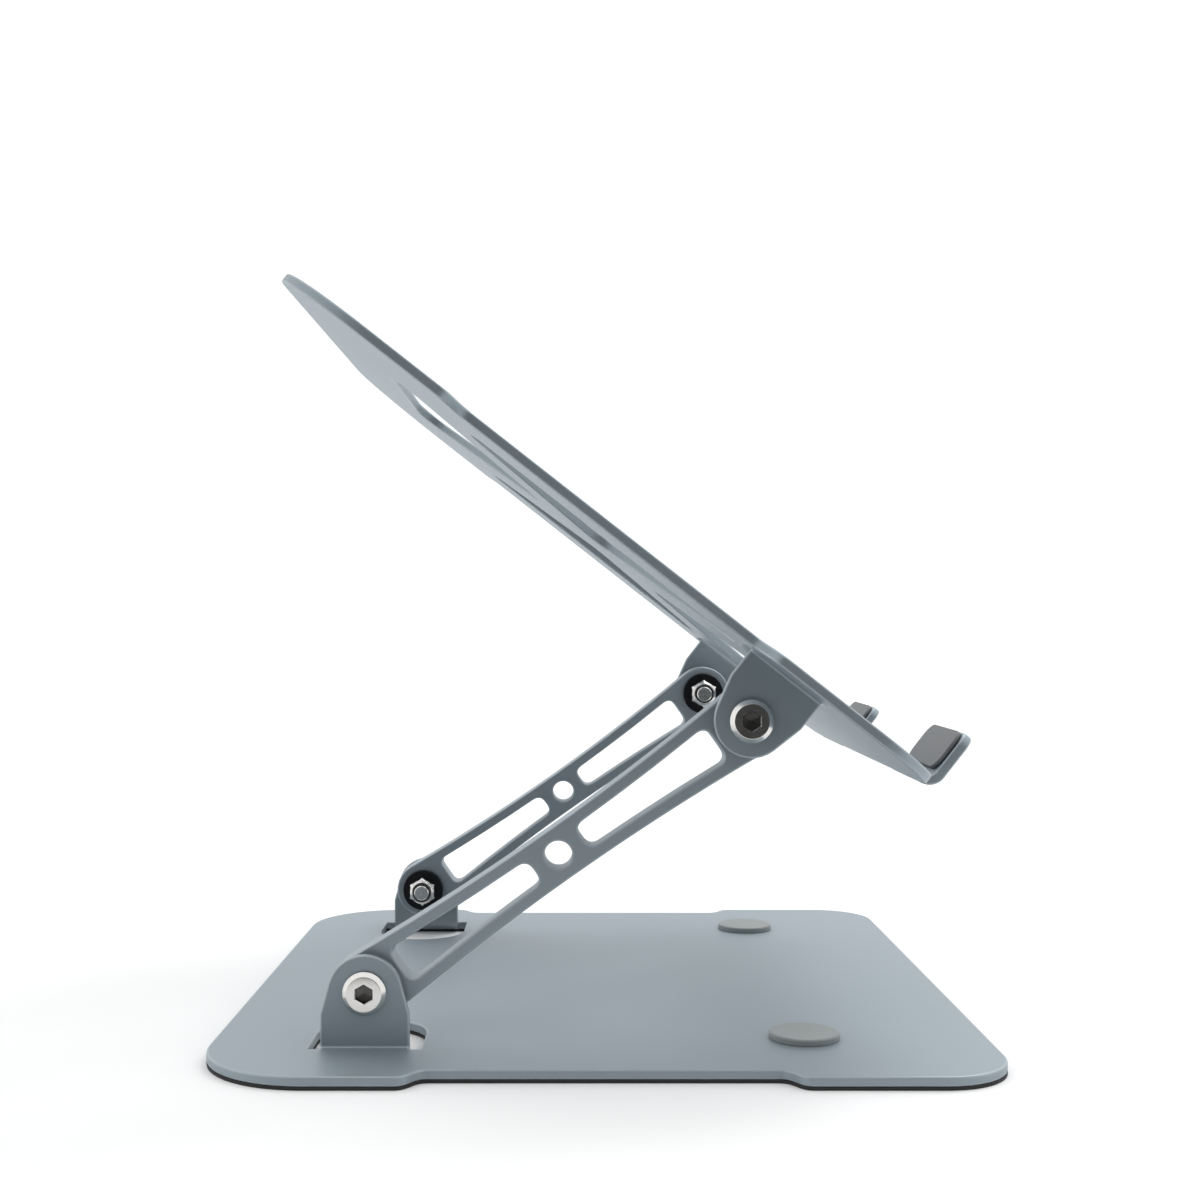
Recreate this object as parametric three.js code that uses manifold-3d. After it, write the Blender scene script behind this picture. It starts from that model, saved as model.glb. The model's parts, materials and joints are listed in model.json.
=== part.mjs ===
// Folding laptop stand, millimetres, +Z up.
// Two bent aluminium sheets, a base and a tray, are joined by a pair of milled swing arms.
// The arms turn on M6 bolts in ears that are cut from the sheets and bent out of them.
// +X is the front, where the user sits and the tray's hooks are. -Y is the user's left.
// The origin is the centre of the rubber mat's underside, on the table.

import * as THREE from 'three';
import { mergeVertices } from 'three/addons/utils/BufferGeometryUtils.js';
import Module from 'manifold-3d';

const wasm = await Module();
wasm.setup();

// ---------- driving dimensions ----------

// base sheet and its rubber mat
const BASE_LENGTH = 240; // front to back
const BASE_WIDTH = 255; // side to side
const BASE_SHEET = 3;
const BASE_REAR_CORNER = 34;
const BASE_FRONT_CORNER = 22;
const BASE_WAIST_DEPTH = 7;
const BASE_WAIST_FLAT = 102;
const BASE_WAIST_BLEND = 8.5;
const MAT_THICKNESS = 1;

// tray sheet, measured along its own slope
const TRAY_LENGTH = 255.6; // rear edge to the front face of the hooks
const TRAY_SIDE_SETBACK = 6.5; // side edge of the base to the side edge of the tray
const TRAY_SHEET = 3.2;
const TRAY_REAR_CORNER = 40;
const TRAY_FRONT_CORNER = 22;
const TRAY_WAIST_DEPTH = 10;
const TRAY_WAIST_FLAT = 105.6;
const TRAY_WAIST_BLEND = 11;
const TRAY_WAIST_SHIFT = 3.3; // towards the front from the middle of the sheet
const TRAY_TILT = THREE.MathUtils.degToRad(38.1);

// four triangular vents that leave an X of sheet between them
const VENT_REAR_RAIL = 37; // sheet left between the vents and the tray's rear edge
const VENT_FRONT_RAIL = 38.6; // and the hooks' front face
const VENT_SIDE_RAIL = 46; // and each side edge
const VENT_BAR = 28; // width of each bar of the X
const VENT_CORNER = 8;

// ears
const EAR_WIDTH = 27;
const EAR_SHOULDER = 10; // height of the straight sides above the sheet
const EAR_RADIUS = 11.4;
const EAR_SETBACK = 29.7; // side edge of the base to the outer face of an ear
const EAR_BEND = 0.9; // inside radius of the bend at its root
const EAR_TAB = 3; // overlap of a bent strip with its flat sheet
const BASE_EAR_SETBACK = 48; // base's rear edge to the pivot
const BASE_PIVOT_RISE = 16.6; // top of the base sheet to the pivot
const BASE_WINDOW_GAP = 3.6; // between an ear's blank and its window
const TRAY_EAR_SETBACK = 57.9; // pivot to the front face of the hooks
const TRAY_PIVOT_DROP = 17.2; // underside of the tray sheet to the pivot
const TRAY_WINDOW_GAP = 1.6;
const WINDOW_TIP_GAP = 5;

// hooks that stop the laptop
const HOOK_WIDTH = 41;
const HOOK_SETBACK = 48.5; // side edge of the tray to the centre of a hook
const HOOK_HEIGHT = 17.4; // above the tray's top face
const HOOK_CORNER = 4.5;
const HOOK_BEND = 2.4; // inside radius of the bend between tray and hook

// swing arms
const ARM_LENGTH = 143.4; // between pivots
const ARM_ANGLE = THREE.MathUtils.degToRad(35.1);
const ARM_THICKNESS = 10;
const ARM_END_RADIUS = 11;
const ARM_WAIST = 15.8;
const ARM_BAR = 3.7; // metal left along each side of a slot
const ARM_HOLE = 8.6;
const ARM_WEB = 4.5; // between the middle hole and a slot
const ARM_SLOT_END = 12.4; // pivot to the near end of a slot
const ARM_SLOT_CORNER = 3.6;

// pivot hardware
const BOLT_DIAMETER = 6;
const BOLT_HEAD = 13.3;
const BOLT_HEAD_FLAT = 10;
const BOLT_HEAD_HEIGHT = 2.2;
const BOLT_RIM = 0.7; // cylindrical edge under the head's chamfer
const BOLT_KEY = 5; // across the flats of the socket
const BOLT_KEY_DEPTH = 2.6;
const BOLT_PROJECTION = 0.9; // beyond the nut
const BOLT_POINT = 0.6; // chamfer at the bolt's end
const BOLT_CLEARANCE = 0.25; // radial, in every hole the bolt passes
const NUT_FLATS = 10;
const NUT_HEX_HEIGHT = 4.4;
const NUT_COLLAR = 9.4;
const NUT_COLLAR_HEIGHT = 1.7;
const NUT_INSERT = 8.2;
const NUT_INSERT_HEIGHT = 1.3;
const INSERT_CLEARANCE = 0.12;
const FRICTION_WASHER = 18; // diameter of the plastic washer between ear and arm
const FRICTION_WASHER_THICKNESS = 0.8; // at the tray's ears, where the sheet is thicker
const BACKING_WASHER = 16.7;
const BACKING_WASHER_THICKNESS = 1.6;
const RUNNING_GAP = 0.15; // between stacked faces on a pivot

// soft pads
const FOLD_PAD = 22;
const FOLD_PAD_HEIGHT = 2;
const FOLD_PAD_X = 63;
const FOLD_PAD_SETBACK = 41.9; // side edge of the base to the centre of a pad
const PAD_EDGE = 0.5; // rounding of a pad's top edge
const ADHESIVE = 0.3; // glue film under the pads on the tray
const HOOK_PAD_INSET = 1.2;
const HOOK_PAD_THICKNESS = 1.2;
const REAR_PAD_LENGTH = 44;
const FRONT_PAD_LENGTH = 26;
const TRAY_PAD_WIDTH = 12;
const TRAY_PAD_HEIGHT = 0.8;
const TRAY_PAD_SETBACK = 35; // side edge of the tray to the centre of a pad
const REAR_PAD_SETBACK = 62; // rear edge to the centre of a rear pad
const FRONT_PAD_SETBACK = 24; // hooks' front face to the centre of a front pad

// facets
const ARC_STEPS = 7; // points along each curve of an outline, doubled on an arc
const TURN_STEPS = 28; // a full turn of a pivot part

// ---------- sizes worked out from them ----------

const TRAY_WIDTH = BASE_WIDTH - 2 * TRAY_SIDE_SETBACK;
const EAR_OUTER = BASE_WIDTH / 2 - EAR_SETBACK;
const TRAY_EAR_INNER = EAR_OUTER - TRAY_SHEET;
const BASE_EAR_INNER = EAR_OUTER - BASE_SHEET;
const ARM_OUTER = TRAY_EAR_INNER - FRICTION_WASHER_THICKNESS - 2 * RUNNING_GAP;
const ARM_INNER = ARM_OUTER - ARM_THICKNESS;
const BACKING_OUTER = ARM_INNER - RUNNING_GAP;
const NUT_OUTER = BACKING_OUTER - BACKING_WASHER_THICKNESS - RUNNING_GAP;
const NUT_INNER = NUT_OUTER - NUT_HEX_HEIGHT - NUT_COLLAR_HEIGHT;
const HOLE_RADIUS = BOLT_DIAMETER / 2 + BOLT_CLEARANCE;

const BASE_TOP = MAT_THICKNESS + BASE_SHEET;
const LOWER_PIVOT = new THREE.Vector3(-BASE_LENGTH / 2 + BASE_EAR_SETBACK, 0, BASE_TOP + BASE_PIVOT_RISE);
const ARM_REACH = new THREE.Vector3(Math.cos(ARM_ANGLE), 0, Math.sin(ARM_ANGLE)).multiplyScalar(ARM_LENGTH);
const UPPER_PIVOT = LOWER_PIVOT.clone().add(ARM_REACH);

// tray, seen from its own pivot: U runs down the slope to the front, Z is square to the sheet
const TRAY_FRONT = TRAY_EAR_SETBACK;
const TRAY_REAR = TRAY_FRONT - TRAY_LENGTH;
const TRAY_EDGE = TRAY_FRONT - TRAY_SHEET - HOOK_BEND; // front edge of the sheet, where the bends begin
const HOOK_Y = TRAY_WIDTH / 2 - HOOK_SETBACK;
const TRAY_UNDERSIDE = TRAY_PIVOT_DROP;
const TRAY_TOP = TRAY_UNDERSIDE + TRAY_SHEET;

// ---------- solids ----------

function toSolid(geometry) {
  const bare = geometry.clone();
  bare.deleteAttribute('normal');
  bare.deleteAttribute('uv');
  const merged = mergeVertices(bare, 1e-4);
  const vertProperties = Float32Array.from(merged.attributes.position.array);
  const triVerts = Uint32Array.from(merged.index.array);
  return new wasm.Manifold(new wasm.Mesh({ numProp: 3, vertProperties, triVerts }));
}

function toGeometry(solid) {
  const { vertProperties, triVerts } = solid.getMesh();
  const geometry = new THREE.BufferGeometry();
  geometry.setAttribute('position', new THREE.BufferAttribute(vertProperties, 3));
  geometry.setIndex(new THREE.BufferAttribute(triVerts, 1));
  return geometry;
}

function cut(body, ...tools) {
  return tools.reduce((left, tool) => left.subtract(toSolid(tool)), body);
}

function extrude(shape, depth) {
  return new THREE.ExtrudeGeometry(shape, { depth, bevelEnabled: false, curveSegments: ARC_STEPS });
}

// a shape drawn in (Y, Z) becomes a bar along X, centred on X = 0
function extrudeAlongX(shape, length) {
  const bar = extrude(shape, length);
  bar.applyMatrix4(new THREE.Matrix4().set(0, 0, 1, -length / 2, 1, 0, 0, 0, 0, 1, 0, 0, 0, 0, 0, 1));
  return bar;
}

// a shape drawn in (X, Z) becomes a bar along Y, from y = from to y = from + length
function extrudeAlongY(shape, from, length) {
  return extrude(shape, length).rotateX(Math.PI / 2).translate(0, from + length, 0);
}

function cylinderAlongY(radius, from, length, steps = TURN_STEPS) {
  return new THREE.CylinderGeometry(radius, radius, length, steps).translate(0, from + length / 2, 0);
}

function hexAlongY(flats, from, length) {
  return cylinderAlongY(flats / 2 / Math.cos(Math.PI / 6), from, length, 6);
}

// a profile of [radius, y] pairs turned about the Y axis
function turned(profile) {
  return new THREE.LatheGeometry(profile.map(([radius, y]) => new THREE.Vector2(radius, y)), TURN_STEPS);
}

function ring(outer, inner, from, thickness) {
  const top = from + thickness;
  return turned([[inner, from], [outer, from], [outer, top], [inner, top], [inner, from]]);
}

// ---------- outlines ----------

// a closed outline through corner points, given anticlockwise, each with its own fillet
function filleted(corners, radius) {
  const shape = new THREE.Shape();
  corners.forEach((corner, index) => {
    const before = corners[(index + corners.length - 1) % corners.length].clone().sub(corner).normalize();
    const after = corners[(index + 1) % corners.length].clone().sub(corner).normalize();
    const half = before.angleTo(after) / 2;
    const start = corner.clone().addScaledVector(before, radius / Math.tan(half));
    const end = corner.clone().addScaledVector(after, radius / Math.tan(half));
    const bisector = before.clone().add(after).normalize();
    const centre = corner.clone().addScaledVector(bisector, radius / Math.sin(half));
    const from = start.sub(centre).angle();
    const to = end.sub(centre).angle();
    shape.absarc(centre.x, centre.y, radius, from, to, false);
  });
  shape.closePath();
  return shape;
}

function rectangle(left, right, bottom, top, radius) {
  const corners = [[left, bottom], [right, bottom], [right, top], [left, top]];
  return filleted(corners.map(([x, y]) => new THREE.Vector2(x, y)), radius);
}

// a sheet seen from above, rounded at its corners and waisted along both sides; a waist is shifted
// towards the front from the sheet's middle
function sheetOutline({ rear, front, width, rearCorner, frontCorner, waist }) {
  const half = width / 2;
  const middle = (rear + front) / 2 + waist.shift;
  const neck = half - waist.depth;
  const flat = waist.flat / 2;
  const wide = flat + waist.blend;
  const bow = waist.blend / 2;
  const shape = new THREE.Shape();
  shape.absarc(rear + rearCorner, rearCorner - half, rearCorner, Math.PI, 1.5 * Math.PI, false);
  shape.lineTo(middle - wide, -half);
  shape.bezierCurveTo(middle - wide + bow, -half, middle - flat - bow, -neck, middle - flat, -neck);
  shape.lineTo(middle + flat, -neck);
  shape.bezierCurveTo(middle + flat + bow, -neck, middle + wide - bow, -half, middle + wide, -half);
  shape.absarc(front - frontCorner, frontCorner - half, frontCorner, 1.5 * Math.PI, 2 * Math.PI, false);
  shape.absarc(front - frontCorner, half - frontCorner, frontCorner, 0, 0.5 * Math.PI, false);
  shape.lineTo(middle + wide, half);
  shape.bezierCurveTo(middle + wide - bow, half, middle + flat + bow, neck, middle + flat, neck);
  shape.lineTo(middle - flat, neck);
  shape.bezierCurveTo(middle - flat - bow, neck, middle - wide + bow, half, middle - wide, half);
  shape.absarc(rear + rearCorner, half - rearCorner, rearCorner, 0.5 * Math.PI, Math.PI, false);
  shape.closePath();
  return shape;
}

// ---------- ears ----------

// an ear seen from the side, its pivot at the origin and its sheet below it
function earOutline(rise, sheet) {
  const side = EAR_WIDTH / 2;
  const shoulder = new THREE.Vector2(side, EAR_SHOULDER - rise);
  const tangent = shoulder.angle() + Math.acos(EAR_RADIUS / shoulder.length()) - 2 * Math.PI;
  const shape = new THREE.Shape();
  shape.moveTo(-side, -rise - 2 * sheet);
  shape.lineTo(side, -rise - 2 * sheet);
  shape.lineTo(shoulder.x, shoulder.y);
  shape.absarc(0, 0, EAR_RADIUS, tangent, Math.PI - tangent, false);
  shape.lineTo(-shoulder.x, shoulder.y);
  shape.closePath();
  return shape;
}

// the bent strip in section: flat tab, bend and upright, drawn in (Y, Z) from the pivot
function earSection(rise, sheet) {
  const bendY = EAR_OUTER + EAR_BEND;
  const bendZ = -rise + EAR_BEND;
  const shape = new THREE.Shape();
  shape.moveTo(bendY + EAR_TAB, -rise - sheet);
  shape.lineTo(bendY + EAR_TAB, -rise);
  shape.absarc(bendY, bendZ, EAR_BEND, 1.5 * Math.PI, Math.PI, true);
  shape.lineTo(EAR_OUTER, EAR_RADIUS + sheet);
  shape.lineTo(EAR_OUTER - sheet, EAR_RADIUS + sheet);
  shape.absarc(bendY, bendZ, EAR_BEND + sheet, Math.PI, 1.5 * Math.PI, false);
  shape.closePath();
  return shape;
}

// one ear on the +Y side, standing up from a sheet below its pivot
function ear(rise, sheet) {
  const strip = toSolid(extrudeAlongX(earSection(rise, sheet), EAR_WIDTH));
  const blank = toSolid(extrudeAlongY(earOutline(rise, sheet), 0, EAR_OUTER + EAR_BEND + 2 * EAR_TAB));
  const hole = cylinderAlongY(HOLE_RADIUS, 0, 2 * EAR_OUTER);
  return toGeometry(cut(strip.intersect(blank), hole));
}

// the window that the ear's blank leaves in the sheet, seen from above
function earWindow(x, side, rise, sheet, gap) {
  const half = EAR_WIDTH / 2 + gap;
  const allowance = (Math.PI / 2) * (EAR_BEND + 0.42 * sheet);
  const outer = EAR_OUTER + EAR_BEND;
  const tip = outer - allowance - (rise - EAR_BEND) - EAR_RADIUS - WINDOW_TIP_GAP;
  const shape = new THREE.Shape();
  shape.moveTo(x + half, side * outer);
  shape.lineTo(x + half, side * (tip + half));
  shape.absarc(x, side * (tip + half), half, 0, side > 0 ? -Math.PI : Math.PI, side > 0);
  shape.lineTo(x - half, side * outer);
  shape.closePath();
  return shape;
}

// ---------- base ----------

const SIDES = [['left', -1], ['right', 1]];

function baseSheetShape() {
  const shape = sheetOutline({
    rear: -BASE_LENGTH / 2,
    front: BASE_LENGTH / 2,
    width: BASE_WIDTH,
    rearCorner: BASE_REAR_CORNER,
    frontCorner: BASE_FRONT_CORNER,
    waist: { depth: BASE_WAIST_DEPTH, flat: BASE_WAIST_FLAT, blend: BASE_WAIST_BLEND, shift: 0 },
  });
  for (const [, side] of SIDES) {
    shape.holes.push(earWindow(LOWER_PIVOT.x, side, BASE_PIVOT_RISE, BASE_SHEET, BASE_WINDOW_GAP));
  }
  return shape;
}

function basePlate() {
  let plate = toSolid(extrude(baseSheetShape(), BASE_SHEET).translate(0, 0, MAT_THICKNESS));
  for (const [, side] of SIDES) {
    const turn = side > 0 ? 0 : Math.PI;
    const placed = ear(BASE_PIVOT_RISE, BASE_SHEET).rotateZ(turn).translate(LOWER_PIVOT.x, 0, LOWER_PIVOT.z);
    plate = plate.add(toSolid(placed));
  }
  return toGeometry(plate);
}

function baseMat() {
  return extrude(baseSheetShape(), MAT_THICKNESS);
}

function foldPad() {
  const radius = FOLD_PAD / 2;
  const edge = radius - PAD_EDGE;
  const top = FOLD_PAD_HEIGHT;
  const profile = [[0, 0], [radius, 0], [radius, top - PAD_EDGE], [edge, top], [0, top]];
  return turned(profile).rotateX(Math.PI / 2);
}

// ---------- swing arm ----------

// a dog-bone bar: round ends joined by two long hollow curves, seen from the side,
// with its lower pivot at the origin and its upper pivot on +X
function armShape() {
  const half = ARM_LENGTH / 2;
  const waist = ARM_WAIST / 2;
  const span = half * half + waist * waist - ARM_END_RADIUS * ARM_END_RADIUS;
  const flank = span / (2 * (ARM_END_RADIUS - waist));
  const lean = Math.atan(half / (flank + waist));
  const quarter = Math.PI / 2;
  const shape = new THREE.Shape();
  shape.absarc(2 * half, 0, ARM_END_RADIUS, -quarter - lean, quarter + lean, false);
  shape.absarc(half, flank + waist, flank, -quarter + lean, -quarter - lean, true);
  shape.absarc(0, 0, ARM_END_RADIUS, quarter - lean, 3 * quarter + lean, false);
  shape.absarc(half, -flank - waist, flank, quarter + lean, quarter - lean, true);
  shape.closePath();
  shape.holes.push(circle(0, HOLE_RADIUS), circle(2 * half, HOLE_RADIUS), circle(half, ARM_HOLE / 2));
  shape.holes.push(armSlot(1, flank), armSlot(-1, flank));
  return shape;
}

function circle(x, radius) {
  const path = new THREE.Path().absarc(x, 0, radius, 2 * Math.PI, Math.PI, true);
  return path.absarc(x, 0, radius, Math.PI, 0, true);
}

// a slot whose long sides run parallel to the arm's flanks
function armSlot(direction, flank) {
  const middle = ARM_LENGTH / 2;
  const near = ARM_HOLE / 2 + ARM_WEB;
  const far = middle - ARM_SLOT_END;
  const centre = flank + ARM_WAIST / 2;
  const radius = flank + ARM_BAR;
  const height = (along) => centre - Math.sqrt(radius * radius - along * along);
  const corner = ARM_SLOT_CORNER;
  const at = (along) => middle + direction * along;
  const slot = new THREE.Path();
  const halfway = (near + far) / 2;
  const bulge = 2 * height(halfway) - (height(near + corner) + height(far - corner)) / 2;
  slot.moveTo(at(near), -height(near) + corner);
  slot.lineTo(at(near), height(near) - corner);
  slot.quadraticCurveTo(at(near), height(near), at(near + corner), height(near + corner));
  slot.quadraticCurveTo(at(halfway), bulge, at(far - corner), height(far - corner));
  slot.quadraticCurveTo(at(far), height(far), at(far), height(far) - corner);
  slot.lineTo(at(far), -height(far) + corner);
  slot.quadraticCurveTo(at(far), -height(far), at(far - corner), -height(far - corner));
  slot.quadraticCurveTo(at(halfway), -bulge, at(near + corner), -height(near + corner));
  slot.quadraticCurveTo(at(near), -height(near), at(near), -height(near) + corner);
  slot.closePath();
  return slot;
}

// ---------- pivot hardware, drawn for the +Y side about the pivot axis ----------

function bolt() {
  const shank = BOLT_DIAMETER / 2;
  const seat = EAR_OUTER + RUNNING_GAP;
  const end = NUT_INNER - BOLT_PROJECTION;
  const rim = BOLT_HEAD / 2;
  const body = turned([
    [0, end],
    [shank - BOLT_POINT, end],
    [shank, end + BOLT_POINT],
    [shank, seat],
    [rim, seat],
    [rim, seat + BOLT_RIM],
    [BOLT_HEAD_FLAT / 2, seat + BOLT_HEAD_HEIGHT],
    [0, seat + BOLT_HEAD_HEIGHT],
  ]);
  const socketFloor = seat + BOLT_HEAD_HEIGHT - BOLT_KEY_DEPTH;
  return toGeometry(cut(toSolid(body), hexAlongY(BOLT_KEY, socketFloor, 2 * BOLT_KEY_DEPTH)));
}

function frictionWasher(earInner) {
  const from = ARM_OUTER + RUNNING_GAP;
  return ring(FRICTION_WASHER / 2, HOLE_RADIUS, from, earInner - RUNNING_GAP - from);
}

function backingWasher() {
  const from = BACKING_OUTER - BACKING_WASHER_THICKNESS;
  return ring(BACKING_WASHER / 2, HOLE_RADIUS, from, BACKING_WASHER_THICKNESS);
}

function lockNut() {
  const collar = cylinderAlongY(NUT_COLLAR / 2, NUT_INNER, NUT_COLLAR_HEIGHT + NUT_HEX_HEIGHT / 2);
  const hex = toSolid(hexAlongY(NUT_FLATS, NUT_OUTER - NUT_HEX_HEIGHT, NUT_HEX_HEIGHT));
  const bore = cylinderAlongY(HOLE_RADIUS, 0, EAR_OUTER);
  const recess = NUT_INSERT_HEIGHT + INSERT_CLEARANCE;
  const pocket = cylinderAlongY(NUT_INSERT / 2 + INSERT_CLEARANCE, NUT_INNER - recess, 2 * recess);
  return toGeometry(cut(hex.add(toSolid(collar)), bore, pocket));
}

function nutInsert() {
  return ring(NUT_INSERT / 2, HOLE_RADIUS, NUT_INNER, NUT_INSERT_HEIGHT);
}

// ---------- tray, drawn flat about its pivot ----------

function ventShapes() {
  const rear = TRAY_REAR + VENT_REAR_RAIL;
  const front = TRAY_FRONT - VENT_FRONT_RAIL;
  const centre = (rear + front) / 2;
  const length = (front - rear) / 2;
  const width = TRAY_WIDTH / 2 - VENT_SIDE_RAIL;
  const lean = Math.atan(width / length);
  const apexAlong = VENT_BAR / 2 / Math.sin(lean);
  const apexAcross = VENT_BAR / 2 / Math.cos(lean);
  const sideBase = ((width - apexAcross) * length) / width;
  const endBase = ((length - apexAlong) * width) / length;
  const triangles = [
    [[-sideBase, width], [0, apexAcross], [sideBase, width]],
    [[sideBase, -width], [0, -apexAcross], [-sideBase, -width]],
    [[length, -endBase], [length, endBase], [apexAlong, 0]],
    [[-length, endBase], [-length, -endBase], [-apexAlong, 0]],
  ];
  const place = ([along, across]) => new THREE.Vector2(centre + along, across);
  return triangles.map((corners) => filleted(corners.map(place), VENT_CORNER));
}

function trayShape() {
  const shape = sheetOutline({
    rear: TRAY_REAR,
    front: TRAY_EDGE,
    width: TRAY_WIDTH,
    rearCorner: TRAY_REAR_CORNER,
    frontCorner: TRAY_FRONT_CORNER,
    waist: {
      depth: TRAY_WAIST_DEPTH,
      flat: TRAY_WAIST_FLAT,
      blend: TRAY_WAIST_BLEND,
      shift: TRAY_WAIST_SHIFT,
    },
  });
  shape.holes.push(...ventShapes());
  return shape;
}

// a hook in section, drawn in (X, Z): flat tab, bend and upright lip
function hookSection() {
  const bendZ = TRAY_TOP + HOOK_BEND;
  const shape = new THREE.Shape();
  shape.moveTo(TRAY_EDGE - EAR_TAB, TRAY_UNDERSIDE);
  shape.absarc(TRAY_EDGE, bendZ, TRAY_SHEET + HOOK_BEND, 1.5 * Math.PI, 2 * Math.PI, false);
  shape.lineTo(TRAY_FRONT, TRAY_TOP + HOOK_HEIGHT);
  shape.lineTo(TRAY_FRONT - TRAY_SHEET, TRAY_TOP + HOOK_HEIGHT);
  shape.absarc(TRAY_EDGE, bendZ, HOOK_BEND, 2 * Math.PI, 1.5 * Math.PI, true);
  shape.lineTo(TRAY_EDGE - EAR_TAB, TRAY_TOP);
  shape.closePath();
  return shape;
}

// the hook's front view, drawn in (Y, Z), trims the lip's top corners
function hookFace() {
  const half = HOOK_WIDTH / 2;
  const top = TRAY_TOP + HOOK_HEIGHT;
  const bottom = TRAY_UNDERSIDE - HOOK_HEIGHT;
  return rectangle(-half, half, bottom, top, HOOK_CORNER);
}

function hook(side) {
  const strip = toSolid(extrudeAlongY(hookSection(), -HOOK_WIDTH, 2 * HOOK_WIDTH));
  const face = toSolid(extrudeAlongX(hookFace(), 2 * TRAY_LENGTH));
  return toSolid(toGeometry(strip.intersect(face)).translate(0, side * HOOK_Y, 0));
}

function trayPlate() {
  let plate = toSolid(extrude(trayShape(), TRAY_SHEET).translate(0, 0, TRAY_UNDERSIDE));
  for (const [, side] of SIDES) {
    const window = extrude(earWindow(0, side, TRAY_PIVOT_DROP, TRAY_SHEET, TRAY_WINDOW_GAP), 4 * TRAY_SHEET);
    window.translate(0, 0, TRAY_UNDERSIDE - TRAY_SHEET);
    const hanging = ear(TRAY_PIVOT_DROP, TRAY_SHEET).rotateX(Math.PI).rotateZ(side > 0 ? Math.PI : 0);
    plate = cut(plate, window).add(hook(side)).add(toSolid(hanging));
  }
  return toGeometry(plate);
}

function hookPad(side) {
  const half = HOOK_WIDTH / 2 - HOOK_PAD_INSET;
  const bottom = TRAY_TOP + HOOK_BEND + ADHESIVE;
  const top = TRAY_TOP + HOOK_HEIGHT - HOOK_PAD_INSET / 2;
  const pad = extrudeAlongX(rectangle(-half, half, bottom, top, HOOK_CORNER), HOOK_PAD_THICKNESS);
  const back = TRAY_FRONT - TRAY_SHEET - ADHESIVE;
  return pad.translate(back - HOOK_PAD_THICKNESS / 2, side * HOOK_Y, 0);
}

function trayPad(along, length, side) {
  const radius = TRAY_PAD_WIDTH / 2;
  const run = length / 2 - radius;
  const shape = new THREE.Shape();
  shape.absarc(run, 0, radius, -Math.PI / 2, Math.PI / 2, false);
  shape.absarc(-run, 0, radius, Math.PI / 2, 1.5 * Math.PI, false);
  shape.closePath();
  const pad = extrude(shape, TRAY_PAD_HEIGHT);
  return pad.translate(along, side * (TRAY_WIDTH / 2 - TRAY_PAD_SETBACK), TRAY_TOP + ADHESIVE);
}

// ---------- finishes ----------

const finish = (color, roughness, metalness) => () => (
  new THREE.MeshStandardMaterial({ color, roughness, metalness })
);
const paint = finish(0x8b9399, 0.55, 0.2);
const armPaint = finish(0x7b848b, 0.55, 0.2);
const steel = finish(0xc9cbcc, 0.25, 1);
const blackSteel = finish(0x17181a, 0.4, 0.6);
const rubber = finish(0x1c1d1f, 0.9, 0);
const silicone = finish(0x7a8082, 0.8, 0);
const nylon = finish(0x2b2d30, 0.6, 0);
const washerPlastic = finish(0x101113, 0.5, 0);

// ---------- assembly ----------

const stand = new THREE.Group();
const tray = new THREE.Group();
tray.position.copy(UPPER_PIVOT);
tray.rotation.y = TRAY_TILT;
stand.add(tray);

function addPart(parent, name, geometry, material, position = new THREE.Vector3()) {
  const mesh = new THREE.Mesh(geometry, material());
  mesh.name = name;
  mesh.position.copy(position);
  parent.add(mesh);
  return mesh;
}

// pivot parts are drawn for the +Y side and turned end for end for the other
function addPivotPart(name, side, geometry, material, pivot) {
  const mesh = addPart(stand, name, geometry, material, pivot);
  mesh.rotation.x = side > 0 ? 0 : Math.PI;
}

addPart(stand, 'base_plate', basePlate(), paint);
addPart(stand, 'base_mat', baseMat(), rubber);
addPart(tray, 'tray_plate', trayPlate(), paint);

const PIVOTS = [
  ['lower', LOWER_PIVOT, BASE_EAR_INNER],
  ['upper', UPPER_PIVOT, TRAY_EAR_INNER],
];

for (const [hand, side] of SIDES) {
  const padPlace = new THREE.Vector3(FOLD_PAD_X, side * (BASE_WIDTH / 2 - FOLD_PAD_SETBACK), BASE_TOP);
  addPart(stand, `fold_pad_${hand}`, foldPad(), silicone, padPlace);

  const from = side > 0 ? ARM_INNER : -ARM_OUTER;
  const armBody = extrudeAlongY(armShape(), from, ARM_THICKNESS);
  const arm = addPart(stand, `${hand}_arm`, armBody, armPaint, LOWER_PIVOT);
  arm.rotation.y = -ARM_ANGLE;

  for (const [level, pivot, earInner] of PIVOTS) {
    addPivotPart(`${level}_bolt_${hand}`, side, bolt(), steel, pivot);
    addPivotPart(`${level}_friction_washer_${hand}`, side, frictionWasher(earInner), washerPlastic, pivot);
    addPivotPart(`${level}_backing_washer_${hand}`, side, backingWasher(), blackSteel, pivot);
    addPivotPart(`${level}_lock_nut_${hand}`, side, lockNut(), steel, pivot);
    addPivotPart(`${level}_nut_insert_${hand}`, side, nutInsert(), nylon, pivot);
  }

  addPart(tray, `hook_pad_${hand}`, hookPad(side), silicone);
  const rearPad = trayPad(TRAY_REAR + REAR_PAD_SETBACK, REAR_PAD_LENGTH, side);
  const frontPad = trayPad(TRAY_FRONT - FRONT_PAD_SETBACK, FRONT_PAD_LENGTH, side);
  addPart(tray, `tray_pad_rear_${hand}`, rearPad, silicone);
  addPart(tray, `tray_pad_front_${hand}`, frontPad, silicone);
}

export default stand;
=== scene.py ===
# %% [markdown]
# # A folding laptop stand
# The stand is two bent sheets of powder-coated aluminium, a base and a tray, joined by a pair of milled
# swing arms. The arms pinch between plastic washers on M6 bolts, so the stand stays at any height it is
# left at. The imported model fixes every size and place. This script gives each part its real finish:
# softened edges, coated metal, turned steel, rubber and silicone.

import json
import math

import bmesh
import bpy
from mathutils import Matrix, Vector


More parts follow.
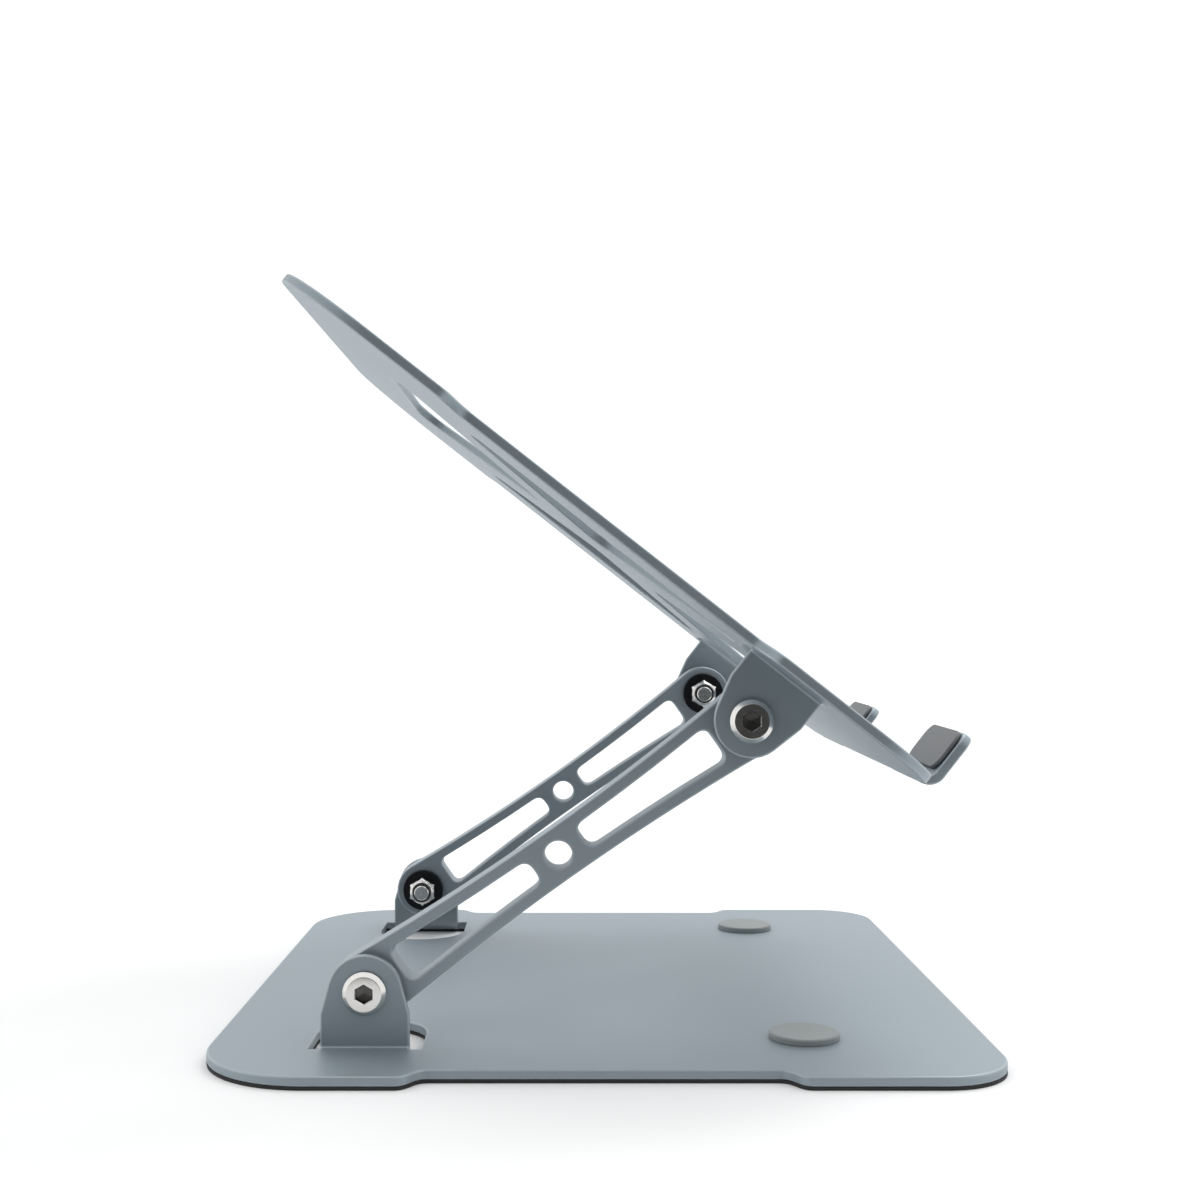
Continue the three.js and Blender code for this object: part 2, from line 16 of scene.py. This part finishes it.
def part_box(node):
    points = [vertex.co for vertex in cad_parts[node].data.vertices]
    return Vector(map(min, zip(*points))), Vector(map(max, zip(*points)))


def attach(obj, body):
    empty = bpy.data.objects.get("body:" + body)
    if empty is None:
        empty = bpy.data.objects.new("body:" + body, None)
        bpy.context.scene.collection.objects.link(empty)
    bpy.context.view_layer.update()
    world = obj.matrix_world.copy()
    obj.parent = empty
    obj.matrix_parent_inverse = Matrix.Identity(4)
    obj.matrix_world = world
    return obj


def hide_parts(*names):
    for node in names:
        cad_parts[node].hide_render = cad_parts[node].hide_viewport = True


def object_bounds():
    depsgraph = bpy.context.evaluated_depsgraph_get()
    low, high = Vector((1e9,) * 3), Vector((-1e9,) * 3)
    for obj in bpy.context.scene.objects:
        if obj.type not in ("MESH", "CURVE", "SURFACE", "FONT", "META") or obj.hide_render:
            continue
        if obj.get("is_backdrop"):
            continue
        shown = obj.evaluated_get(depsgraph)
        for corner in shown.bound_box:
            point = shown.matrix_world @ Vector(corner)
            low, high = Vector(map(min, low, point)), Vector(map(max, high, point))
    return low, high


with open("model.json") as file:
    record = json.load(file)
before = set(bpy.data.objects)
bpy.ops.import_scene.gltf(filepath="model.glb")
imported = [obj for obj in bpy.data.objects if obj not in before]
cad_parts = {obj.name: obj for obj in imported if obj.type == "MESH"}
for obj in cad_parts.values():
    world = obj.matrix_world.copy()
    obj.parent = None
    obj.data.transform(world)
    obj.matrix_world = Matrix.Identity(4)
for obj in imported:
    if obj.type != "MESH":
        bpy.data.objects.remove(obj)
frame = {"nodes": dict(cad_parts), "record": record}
cad_low, cad_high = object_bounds()
MM = 0.001
SIDES = {"left": -1, "right": 1}
joints = {joint["name"]: joint for joint in frame["record"]["behaviour"]["joints"]}
pivots = {"lower": Vector(joints["arm_lift"]["pos_m"]), "upper": Vector(joints["tray_tilt"]["pos_m"])}
print("model box, mm:", [round(v / MM) for v in cad_high - cad_low])

# %% [markdown]
# ## Camera
# The stand is seen from its left side, level, from a little above the top of the base. A level camera keeps
# upright edges upright. The view is framed by shifting the lens, as an architect's camera does, in place
# of tilting it.

# %% Camera
CAMERA_PLACE = Vector((-7.8, -567.5, 133.4)) * MM
LENS = 46.5
SHIFT = (0.0197, 0.0175)
LEVEL = math.radians(90)

camera_data = bpy.data.cameras.new("camera")
camera_data.lens = LENS
camera_data.shift_x, camera_data.shift_y = SHIFT
camera = bpy.data.objects.new("camera", camera_data)
camera.location = CAMERA_PLACE
camera.rotation_euler = (LEVEL, 0, 0)
bpy.context.scene.collection.objects.link(camera)
bpy.context.scene.camera = camera
print("camera to the near side, mm:", round((cad_low.y - CAMERA_PLACE.y) / MM))

# %% [markdown]
# ## Node arithmetic
# A finish is a small program of nodes. Written as plain arithmetic it stays readable: one class stands for
# an output of a node, and adding or multiplying it adds the Math node that does so. A second class owns a
# node tree, and its one method makes any other node. The studio's sky is such a tree too.

# %% Wires and trees
class Wire:
    """One output of a node, which can be used in sums."""

    def __init__(self, owner, socket):
        self.owner = owner
        self.socket = socket

    def maths(self, operation, first, second):
        return self.owner.node("Math", {"operation": operation}, {0: first, 1: second})

    def __add__(self, other):
        return self.maths("ADD", self, other)

    def __sub__(self, other):
        return self.maths("SUBTRACT", self, other)

    def __rsub__(self, other):
        return self.maths("SUBTRACT", other, self)

    def __mul__(self, other):
        return self.maths("MULTIPLY", self, other)

    __radd__ = __add__
    __rmul__ = __mul__


class Nodes:
    """A node tree and the means to fill it."""

    def __init__(self, tree):
        self.tree = tree

    def plug(self, socket, value):
        if isinstance(value, Wire):
            self.tree.links.new(value.socket, socket)
        else:
            socket.default_value = value

    def node(self, kind, settings, sockets, output=0):
        """Adds a node: settings are its own properties, sockets its inputs by name or number."""
        made = self.tree.nodes.new("ShaderNode" + kind)
        for key, value in settings.items():
            setattr(made, key, value)
        for key, value in sockets.items():
            self.plug(made.inputs[key], value)
        return Wire(self, made.outputs[output])




# %% [markdown]
# ## Studio
# Coated metal shows what stands round it. This room is white and bright on every side but one: behind the
# camera it is dark. That one dark side is what turns the upper ears and the upper bolts deep grey, while
# the base, which mirrors the far side of the room, stays pale. The sky here is white with a dark patch
# round the -Y direction. Seen straight on by the camera it is white all over, from every side.

# %% World
SKY = 1.18
DARK_SIDE = 0.05
DARK_WITHIN = -0.88
BRIGHT_BEYOND = -0.50

world = bpy.data.worlds.new("studio")
world.use_nodes = True
bpy.context.scene.world = world
sky = Nodes(world.node_tree)
direction = sky.node("TexCoord", {}, {}, "Generated")
dark_range = {"From Min": DARK_WITHIN, "From Max": BRIGHT_BEYOND, "To Min": DARK_SIDE * SKY, "To Max": SKY}
dark_range["Value"] = sky.node("SeparateXYZ", {}, {0: direction}, "Y")
lighting = sky.node("MapRange", {"interpolation_type": "SMOOTHSTEP"}, dark_range, "Result")
seen_directly = sky.node("LightPath", {}, {}, "Is Camera Ray")
strength = sky.node("Math", {"operation": "MAXIMUM"}, {0: lighting, 1: seen_directly})
background = world.node_tree.nodes["Background"]
sky.plug(background.inputs["Color"], (1, 1, 1, 1))
sky.plug(background.inputs["Strength"], strength)
bpy.context.scene.view_settings.view_transform = "Standard"
print("sky strength:", SKY, "and on the dark side:", round(DARK_SIDE * SKY, 3))


# %% Lamps
def softbox(name, location, size, power):
    """A square lamp that points at the middle of the stand."""
    data = bpy.data.lights.new(name, "AREA")
    data.shape = "SQUARE"
    data.size = size
    data.energy = power
    lamp = bpy.data.objects.new(name, data)
    lamp.location = location
    aim = (cad_low + cad_high) / 2 - lamp.location
    lamp.rotation_mode = "QUATERNION"
    lamp.rotation_quaternion = aim.to_track_quat("-Z", "Y")
    bpy.context.scene.collection.objects.link(lamp)
    print(f"{name}: {power} W, {round(aim.length, 2)} m away")


softbox("top_lamp", location=Vector((0.7, 0.6, 1.4)), size=0.7, power=7)


# %% [markdown]
# ## Finishes
# Each finish starts from Blender's all-round shader. Numbers that are the same all over a surface are set
# on it straight away, and what varies is plugged in. Patterns are read at the piece's own coordinates, so
# they stay put when a joint moves, and their sizes are given as they are on the real surface.

# %% A finish
class Finish(Nodes):
    """A material, its shader and the nodes that feed it."""

    def __init__(self, name, **constants):
        self.material = bpy.data.materials.new(name)
        self.material.use_nodes = True
        super().__init__(self.material.node_tree)
        self.shader = self.tree.nodes["Principled BSDF"]
        for socket, value in constants.items():
            self.surface(socket.replace("_", " "), value)
        self.place = self.node("TexCoord", {}, {}, "Object")

    def surface(self, socket, value):
        self.plug(self.shader.inputs[socket], value)

    def noise(self, size, detail):
        """Cloudy noise, 0 to 1, whose blotches are about this size in metres."""
        return self.node("TexNoise", {}, {"Vector": self.place, "Scale": 1 / size, "Detail": detail})

    def blend(self, amount, *colours):
        """A mix of two colours, each a wire or three numbers."""
        first, second = (shade if isinstance(shade, Wire) else (*shade, 1) for shade in colours)
        return self.node("Mix", {"data_type": "RGBA"}, {0: amount, 6: first, 7: second}, 2)

    def bump(self, height, depth, strength):
        sockets = {"Height": height, "Distance": depth, "Strength": strength}
        self.surface("Normal", self.node("Bump", {}, sockets))


# %% [markdown]
# ### Powder coat
# The sheets and arms are sprayed with blue-grey powder and baked. Seen close, the coat has the soft dimples
# called orange peel, a fine grain, and slow drifts in shade where it is thicker. The rounded cut edges get a
# painted highlight, a paler colour in noisy patches: the pieces carry an attribute that is 1 on their
# rounded edges and 0 elsewhere, and the finish reads it.

# %% Powder coat
DRIFT = 70 * MM
PEEL = 1.6 * MM
PEEL_DEPTH = 0.045 * MM
GRAIN = 0.45 * MM
HIGHLIGHT_PATCH = 9 * MM
# Pale colour of the painted highlight along rounded edges.
EDGE_HIGHLIGHT = (0.40, 0.45, 0.485)


def powder_coat(name, pale, deep):
    finish = Finish(name, Metallic=0.6, Coat_Weight=0.05, Coat_Roughness=0.35)
    drift = finish.noise(DRIFT, 3)
    peel = finish.noise(PEEL, 1)
    grain = finish.noise(GRAIN, 2)
    on_edge = finish.node("Attribute", {"attribute_name": "edge"}, {}, "Fac")
    # Painted highlight: the rounded edges are blended towards a paler blue-grey, in patches set by noise.
    edge_highlight = on_edge * (0.35 + 0.5 * finish.noise(HIGHLIGHT_PATCH, 4))
    shade = finish.blend(drift * 0.75 + grain * 0.35, deep, pale)
    finish.surface("Base Color", finish.blend(edge_highlight, shade, EDGE_HIGHLIGHT))
    finish.surface("Roughness", 0.44 + 0.08 * drift + 0.08 * grain - 0.06 * on_edge)
    finish.bump(peel * 0.7 + grain * 0.3, PEEL_DEPTH, 0.35)
    return finish.material


sheet_coat = powder_coat("sheet_coat", pale=(0.312, 0.365, 0.403), deep=(0.273, 0.326, 0.36))
arm_coat = powder_coat("arm_coat", pale=(0.322, 0.374, 0.413), deep=(0.283, 0.331, 0.37))


# %% [markdown]
# ### Turned and plated steel
# Bolts and nuts are faced on a lathe before they are plated, which leaves fine rings round the axis. The
# rings depend only on the distance from the pivot, so each pivot has its own copy of the finish, centred
# on it, and the noise that makes them is read along that one distance. The deep end of a key socket gets
# painted shade, a near-black colour, so its faces carry an attribute that the finish reads.

# %% Steel
# Near-black colour of the painted shade deep in a key socket.
SOCKET_SHADE_COLOUR = (0.065, 0.062, 0.058)
RING_PITCH = 0.28 * MM
STAIN = 2.2 * MM


def turned_steel(name, pivot, colour, roughness, rings):
    finish = Finish(name, Metallic=1.0)
    middle = (pivot.x, 0, pivot.z)
    centred = finish.node("VectorMath", {"operation": "SUBTRACT"}, {0: finish.place, 1: middle})
    flat = finish.node("VectorMath", {"operation": "MULTIPLY"}, {0: centred, 1: (1, 0, 1)})
    radius = finish.node("VectorMath", {"operation": "LENGTH"}, {0: flat}, "Value")
    along_radius = {"W": radius, "Scale": 1 / RING_PITCH, "Detail": 2}
    ring = finish.node("TexNoise", {"noise_dimensions": "1D"}, along_radius)
    stain = finish.noise(STAIN, 3)
    socket_shade = finish.node("Attribute", {"attribute_name": "socket_shade"}, {}, "Fac")
    dark = tuple(0.72 * channel for channel in colour)
    plated = finish.blend(stain * 0.6 + ring * 0.4, dark, colour)
    # Painted shade: faces marked deep in the key socket are blended towards near black.
    finish.surface("Base Color", finish.blend(socket_shade * (0.8 + 0.15 * stain), plated, SOCKET_SHADE_COLOUR))
    finish.surface("Roughness", roughness * 0.7 + stain * roughness * 0.6 + 0.2 * socket_shade)
    finish.bump(ring, rings, 0.6)
    return finish.material


bright_steel = {
    level: turned_steel(f"bright_steel_{level}", place, (0.80, 0.79, 0.77), 0.20, 0.012 * MM)
    for level, place in pivots.items()
}
black_steel = {
    level: turned_steel(f"black_steel_{level}", place, (0.035, 0.036, 0.04), 0.34, 0.010 * MM)
    for level, place in pivots.items()
}


# %% [markdown]
# ### Rubber, silicone and plastics
# Rubber scatters light from a surface of tiny pits. Silicone is smoother and slightly waxy. The washers and
# the locking rings are plain moulded plastic.

# %% Soft materials
CLOUD = 12 * MM


def moulded(name, pale, deep, roughness, pit, depth, **constants):
    finish = Finish(name, **constants)
    cloud = finish.noise(CLOUD, 3)
    pits = finish.noise(pit, 2)
    finish.surface("Base Color", finish.blend(cloud * 0.6 + pits * 0.4, deep, pale))
    finish.surface("Roughness", roughness - 0.06 + 0.12 * pits)
    finish.bump(pits, depth, 0.5)
    return finish.material


mat_rubber = moulded("mat_rubber", (0.030, 0.031, 0.033), (0.016, 0.017, 0.018), 0.82, 0.7 * MM, 0.08 * MM)
grey_silicone = moulded(
    "grey_silicone", (0.255, 0.28, 0.285), (0.205, 0.23, 0.235), 0.55, 0.5 * MM, 0.02 * MM, Sheen_Weight=0.15
)
hook_silicone = moulded(
    "hook_silicone", (0.165, 0.17, 0.178), (0.135, 0.14, 0.147), 0.6, 0.5 * MM, 0.02 * MM, Sheen_Weight=0.1
)
washer_plastic = moulded(
    "washer_plastic", (0.022, 0.022, 0.024), (0.014, 0.014, 0.015), 0.5, 0.4 * MM, 0.02 * MM
)
ring_nylon = moulded("ring_nylon", (0.05, 0.052, 0.056), (0.03, 0.032, 0.035), 0.42, 0.4 * MM, 0.02 * MM)


# %% [markdown]
# ## Making a piece
# Every piece ends the same way: its mesh becomes an object that rides on a body, stands for its solid in
# the imported model and takes its finish. Large flat faces should stay flat to the eye
# beside narrow rounded edges, and the Weighted Normal modifier sees to that.

# %% Finishing a piece
SMOOTH_BELOW = math.radians(38)


def piece(name, mesh, node, material):
    """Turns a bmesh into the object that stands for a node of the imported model."""
    data = bpy.data.meshes.new(name)
    mesh.to_mesh(data)
    mesh.free()
    data.shade_smooth()
    data.set_sharp_from_angle(angle=SMOOTH_BELOW)
    data.materials.append(material)
    made = bpy.data.objects.new(name, data)
    bpy.context.scene.collection.objects.link(made)
    flatter = made.modifiers.new("flat faces", "WEIGHTED_NORMAL")
    flatter.keep_sharp = True
    body = next(body for body, nodes in frame["record"]["behaviour"]["bodies"].items() if node in nodes)
    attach(made, body)
    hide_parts(node)
    print(f"{name}: {len(data.polygons)} faces, rides on {body}")
    return made


# %% [markdown]
# ## Sheets, arms and flat pads
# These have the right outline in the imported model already, but its edges are razor sharp. A cut and
# tumbled sheet has edges of a few tenths of a millimetre, and they are what catches the light. So the
# solid's mesh is copied, its loose triangles are merged into whole faces, and every sharp edge is
# rounded with the bevel operator. The new edge faces are marked for the finish.

# %% Softened copies
WELD = 0.002 * MM
FLAT_BELOW = math.radians(0.5)
SHARP_ABOVE = math.radians(30)


def softened(node, radius, segments=3):
    """A copy of a node's mesh with its sharp edges rounded and marked."""
    mesh = bmesh.new()
    mesh.from_mesh(frame["nodes"][node].data)
    bmesh.ops.remove_doubles(mesh, verts=mesh.verts, dist=WELD)
    bmesh.ops.dissolve_limit(
        mesh, angle_limit=FLAT_BELOW, use_dissolve_boundaries=False, verts=mesh.verts, edges=mesh.edges
    )
    sharp = [edge for edge in mesh.edges if edge.calc_face_angle(0) > SHARP_ABOVE]
    mark = mesh.faces.layers.float.new("edge")
    rounded = bmesh.ops.bevel(
        mesh,
        geom=sharp,
        offset=radius,
        offset_type="OFFSET",
        segments=segments,
        profile=0.5,
        affect="EDGES",
        material=-1,
        clamp_overlap=False,
    )
    # The rounded faces are marked for the painted highlight.
    for face in rounded["faces"]:
        face[mark] = 1.0
    return mesh


piece("base_sheet", softened("base_plate", 0.6 * MM), "base_plate", sheet_coat)
piece("tray_sheet", softened("tray_plate", 0.65 * MM), "tray_plate", sheet_coat)
piece("base_rubber", softened("base_mat", 0.2 * MM), "base_mat", mat_rubber)
for hand in SIDES:
    piece(f"swing_arm_{hand}", softened(f"{hand}_arm", 0.6 * MM), f"{hand}_arm", arm_coat)
    piece(f"hook_cushion_{hand}", softened(f"hook_pad_{hand}", 0.35 * MM), f"hook_pad_{hand}", hook_silicone)
    for end in ("rear", "front"):
        node = f"tray_pad_{end}_{hand}"
        piece(f"tray_strip_{end}_{hand}", softened(node, 0.3 * MM), node, grey_silicone)


# %% [markdown]
# ## Round pads on the base
# The folded tray lands on a pair of silicone discs. Each has a slightly dished top inside a soft rim, so
# its outline is drawn once as half a section and spun round the upright axis.

# %% Spinning a section
TURN = 72


def spun(section, axis):
    """Spins a section of (radius, along) points, given from the axis outwards and back, round an axis."""
    mesh = bmesh.new()
    side = Vector((1, 0, 0))
    points = [mesh.verts.new(side * radius + axis * along) for radius, along in section]
    wire = [mesh.edges.new(pair) for pair in zip(points, points[1:])]
    bmesh.ops.spin(
        mesh, geom=points + wire, cent=(0, 0, 0), axis=axis, angle=math.tau, steps=TURN, use_merge=True
    )
    bmesh.ops.remove_doubles(mesh, verts=mesh.verts, dist=WELD)
    bmesh.ops.recalc_face_normals(mesh, faces=mesh.faces)
    return mesh


def corner(radius, along, turn_radius, first, last, steps=4):
    """Points of a rounded corner in a section: a short arc about (radius, along), angles in degrees."""
    angles = [math.radians(first + (last - first) * step / steps) for step in range(steps + 1)]
    return [(radius + turn_radius * math.cos(a), along + turn_radius * math.sin(a)) for a in angles]


# %% Round pads
PAD_RIM = 0.7 * MM
PAD_FOOT = 0.2 * MM
PAD_DISH = 0.1 * MM
DISH_STARTS = 1.8 * MM
DISH_ENDS = 2.8 * MM

for hand in SIDES:
    low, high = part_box(f"fold_pad_{hand}")
    radius = (high.x - low.x) / 2
    height = high.z - low.z
    section = [(0, 0), (radius - PAD_FOOT, 0), (radius, PAD_FOOT)]
    section += corner(radius - PAD_RIM, height - PAD_RIM, PAD_RIM, 0, 90)
    section += [(radius - DISH_STARTS, height), (radius - DISH_ENDS, height - PAD_DISH)]
    section += [(0, height - PAD_DISH)]
    disc = spun(section, Vector((0, 0, 1)))
    bmesh.ops.translate(disc, verts=disc.verts, vec=((low.x + high.x) / 2, (low.y + high.y) / 2, low.z))
    piece(f"round_pad_{hand}", disc, f"fold_pad_{hand}", grey_silicone)


# %% [markdown]
# ## Washers and locking rings
# A washer is a ring with its corners just broken. The section is drawn from the bore outwards, closed, and
# spun round the pivot's axis. Everything on a pivot is made for the right-hand side, where outwards is +Y,
# and turned end for end for the left, so no piece is mirrored and no face is turned inside out.

# %% Placing a pivot part
def on_pivot(mesh, level, hand):
    """Moves a part drawn about the Y axis, outwards along +Y, to its pivot on one side of the stand."""
    turn = Matrix() if SIDES[hand] > 0 else Matrix.Rotation(math.pi, 4, "X")
    bmesh.ops.transform(mesh, matrix=Matrix.Translation(pivots[level]) @ turn, verts=mesh.verts)
    return mesh


def reach(node):
    """Inner end, outer end and radius of a pivot part, measured outwards from the stand's middle."""
    low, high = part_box(node)
    return min(abs(low.y), abs(high.y)), max(abs(low.y), abs(high.y)), (high.x - low.x) / 2


def washer(inner_end, outer_end, radius, bore, broken):
    """A ring about the Y axis with its corners broken."""
    ring = [(bore, inner_end + broken), (bore + broken, inner_end), (radius - broken, inner_end)]
    ring += [(radius, inner_end + broken), (radius, outer_end - broken), (radius - broken, outer_end)]
    ring += [(bore + broken, outer_end), (bore, outer_end - broken), (bore, inner_end + broken)]
    return spun(ring, Vector((0, 1, 0)))


# %% Washers and locking rings
BORE = 3.05 * MM
RING_POCKET = 3.8 * MM

for level in pivots:
    rings = {
        "friction_washer": (washer_plastic, 0.12 * MM),
        "backing_washer": (black_steel[level], 0.25 * MM),
        "nut_insert": (ring_nylon, 0.2 * MM),
    }
    for hand in SIDES:
        for kind, (material, broken) in rings.items():
            node = f"{level}_{kind}_{hand}"
            inner_end, outer_end, radius = reach(node)
            if kind == "nut_insert":
                radius = RING_POCKET
            ring = washer(inner_end, outer_end, radius, BORE, broken)
            piece(f"{node}_ring", on_pivot(ring, level, hand), node, material)


# %% [markdown]
# ## Bolts
# The head is a low cone with a flat face and a hexagon socket. A lathe gives all of it but the socket, so
# the body is grown from a circle, ring by ring, by extruding the open edge loop and scaling it. On the face
# the loop is extruded in place and its points are pulled in along their rays onto a hexagon, which is then
# sunk for the key. The faces between stay straight, where bridging two separate loops could twist them.

# %% Growing loops
LOOP = 48


def open_loop(mesh, radius, along):
    """A circle of LOOP edges round the Y axis, with a point on top."""
    turn = Matrix.Translation((0, along, 0)) @ Matrix.Rotation(math.pi / 2, 4, "X")
    made = bmesh.ops.create_circle(mesh, segments=LOOP, radius=radius, matrix=turn)["verts"]
    return list({edge for vert in made for edge in vert.link_edges})


def grow(mesh, edges, shrink, step):
    """Extrudes an open loop, scales it across the axis and moves it along."""
    grown = bmesh.ops.extrude_edge_only(mesh, edges=edges)["geom"]
    verts = [item for item in grown if isinstance(item, bmesh.types.BMVert)]
    bmesh.ops.scale(mesh, vec=(shrink, 1, shrink), verts=verts)
    bmesh.ops.translate(mesh, verts=verts, vec=(0, step, 0))
    return [item for item in grown if isinstance(item, bmesh.types.BMEdge)]


def turned_up(mesh, edges, section):
    """Grows a circle through (radius, along) points; the first is where the circle is now."""
    for (radius, along), (next_radius, next_along) in zip(section, section[1:]):
        edges = grow(mesh, edges, next_radius / radius, next_along - along)
    return edges


def shaped(edges, corner_radius, corners=LOOP):
    """Moves a loop's points along their rays from the axis, onto a polygon with a corner on top."""
    half = math.pi / corners
    for vert in {vert for edge in edges for vert in edge.verts}:
        past_corner = math.atan2(vert.co.x, vert.co.z) % (2 * half)
        wanted = corner_radius * math.cos(half) / math.cos(past_corner - half)
        pull = wanted / math.hypot(vert.co.x, vert.co.z)
        vert.co.x *= pull
        vert.co.z *= pull


def capped(mesh, edges):
    bmesh.ops.edgeloop_fill(mesh, edges=edges)


# %% Bolt sizes
SHANK = 3.0 * MM
THREAD = 0.35 * MM
PITCH = 1.0 * MM
THREAD_TURNS = 6
END_CHAMFER = 0.3 * MM
HEAD_HEIGHT = 2.2 * MM
HEAD_RIM = 1.05 * MM
HEAD_BREAK = 0.15 * MM
CONE_STEP = 0.12 * MM
HEAD_FLAT = 5.2 * MM
FLAT_BREAK = (0.2 * MM, 0.1 * MM)
KEY_FLATS = 5.0 * MM
KEY_CORNERS = KEY_FLATS / 2 / math.cos(math.pi / 6)
KEY_DEPTH = 2.6 * MM
KEY_CHAMFER = 0.3 * MM
DRILL_POINT = 0.05
DRILL_DEPTH = 0.5 * MM
print("key socket across corners, mm:", round(2 * KEY_CORNERS / MM, 2))


# %% Bolts
def bolt(inner_end, outer_end, radius):
    """A button-head bolt about the Y axis: threaded end, shank, head and key socket."""
    mesh = bmesh.new()
    socket_shade = mesh.faces.layers.float.new("socket_shade")
    seat = outer_end - HEAD_HEIGHT
    start = SHANK - END_CHAMFER
    section = [(start, inner_end)]
    for turn in range(THREAD_TURNS):
        crest = inner_end + END_CHAMFER + turn * PITCH
        section += [(SHANK, crest), (SHANK - THREAD, crest + PITCH / 2)]
    section += [(SHANK, crest + PITCH), (SHANK, seat), (radius - HEAD_BREAK, seat)]
    section += [(radius, seat + HEAD_BREAK), (radius, seat + HEAD_RIM - HEAD_BREAK)]
    section += [(radius - CONE_STEP, seat + HEAD_RIM)]
    section += [(HEAD_FLAT + FLAT_BREAK[0], outer_end - FLAT_BREAK[1]), (HEAD_FLAT, outer_end)]
    first = open_loop(mesh, start, inner_end)
    face = turned_up(mesh, first, section)
    capped(mesh, first)
    mouth = grow(mesh, face, 1, 0)
    shaped(mouth, KEY_CORNERS + KEY_CHAMFER, 6)
    wall = grow(mesh, mouth, KEY_CORNERS / (KEY_CORNERS + KEY_CHAMFER), -KEY_CHAMFER)
    floor = grow(mesh, wall, 1, KEY_CHAMFER - KEY_DEPTH)
    drilled = grow(mesh, floor, DRILL_POINT, -DRILL_DEPTH)
    capped(mesh, drilled)
    # Marks the socket's floor and lower walls for the painted shade.
    for edge in floor + drilled:
        for face in edge.link_faces:
            face[socket_shade] = 1.0
    bmesh.ops.recalc_face_normals(mesh, faces=mesh.faces)
    return mesh


for level in pivots:
    for hand in SIDES:
        node = f"{level}_bolt_{hand}"
        made = on_pivot(bolt(*reach(node)), level, hand)
        piece(f"{node}_turned", made, node, bright_steel[level])


# %% [markdown]
# ## Lock nuts
# A lock nut is a hexagon with a thin collar, crimped over a nylon ring. The hexagon's corners are chamfered
# where it meets the collar: a hexagonal loop that turns round a little further on gives that chamfer. The
# bore's loop ends on the hexagon that the nut started from, and merging the two closes the nut.

# %% Lock nut sizes
NUT_FLATS = 10 * MM
NUT_CORNERS = NUT_FLATS / 2 / math.cos(math.pi / 6)
HEX_HEIGHT = 4.4 * MM
CHAMFER = 0.8 * MM
CROWN = 4.95 * MM
COLLAR = 4.75 * MM
CRIMP = 0.95 * MM
FILLET = [(0.05 * MM, 0.1 * MM), (0, 0.3 * MM)]
RING_LIP = 0.15 * MM
RING_DEPTH = 1.42 * MM
BEARING = NUT_CORNERS - 0.25 * MM
BEARING_BREAK = 0.25 * MM
BORE_BREAK = (0.3 * MM, 0.2 * MM)
print("lock nut across corners, mm:", round(2 * NUT_CORNERS / MM, 2))


# %% Lock nuts
def lock_nut(inner_end, outer_end):
    """A hexagon nut about the Y axis, with a crimped collar at its inner end."""
    mesh = bmesh.new()
    bearing = open_loop(mesh, NUT_CORNERS, outer_end)
    shaped(bearing, BEARING, 6)
    brink = grow(mesh, bearing, NUT_CORNERS / BEARING, -BEARING_BREAK)
    shoulder = grow(mesh, brink, 1, BEARING_BREAK + CHAMFER - HEX_HEIGHT)
    top = outer_end - HEX_HEIGHT
    crown = grow(mesh, shoulder, 1, -CHAMFER)
    shaped(crown, CROWN)
    section = [(CROWN, top)] + [(COLLAR + out, top - down) for out, down in FILLET]
    section += corner(COLLAR - CRIMP, inner_end + CRIMP, CRIMP, 0, -90, 6)
    section += [(RING_POCKET, inner_end + RING_LIP), (RING_POCKET, inner_end + RING_DEPTH)]
    section += [(BORE, inner_end + RING_DEPTH), (BORE, outer_end - BORE_BREAK[1])]
    section += [(BORE + BORE_BREAK[0], outer_end)]
    bore = turned_up(mesh, crown, section)
    face = grow(mesh, bore, 1, 0)
    shaped(face, BEARING, 6)
    bmesh.ops.remove_doubles(mesh, verts=mesh.verts, dist=WELD)
    bmesh.ops.recalc_face_normals(mesh, faces=mesh.faces)
    return mesh


for level in pivots:
    for hand in SIDES:
        node = f"{level}_lock_nut_{hand}"
        inner_end, outer_end, _ = reach(node)
        made = on_pivot(lock_nut(inner_end, outer_end), level, hand)
        piece(f"{node}_plated", made, node, bright_steel[level])


# %% [markdown]
# ## Floor
# A round white table top. It throws light up under the tray, and it is bright enough to fade into the room
# behind it while still taking a soft shadow under the base. It ends a hand's breadth in front of the stand:
# the lower bolts mirror the table, and the upper bolts and ears look out over its edge into the dark side.

# %% Floor
FLOOR_RADIUS = 0.9
FLOOR_FRONT = -0.29
PAPER_CLOUD = 0.4

floor_mesh = bmesh.new()
bmesh.ops.create_circle(floor_mesh, cap_ends=True, segments=96, radius=FLOOR_RADIUS)
floor_data = bpy.data.meshes.new("floor")
floor_mesh.to_mesh(floor_data)
floor_mesh.free()
floor_finish = Finish("floor_paper", Roughness=0.9, Specular_IOR_Level=0.1)
shade = floor_finish.blend(floor_finish.noise(PAPER_CLOUD, 2), (0.95, 0.95, 0.95), (0.97, 0.97, 0.97))
floor_finish.surface("Base Color", shade)
floor_data.materials.append(floor_finish.material)
floor = bpy.data.objects.new("floor", floor_data)
floor.location = (0, FLOOR_FRONT + FLOOR_RADIUS, cad_low.z)
bpy.context.scene.collection.objects.link(floor)
floor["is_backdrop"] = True
print("floor's front edge, mm in front of the stand:", round((cad_low.y - FLOOR_FRONT) / MM))

# %% Visual box
low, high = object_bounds()
print("visual box, mm:", [round(v / MM, 1) for v in high - low])
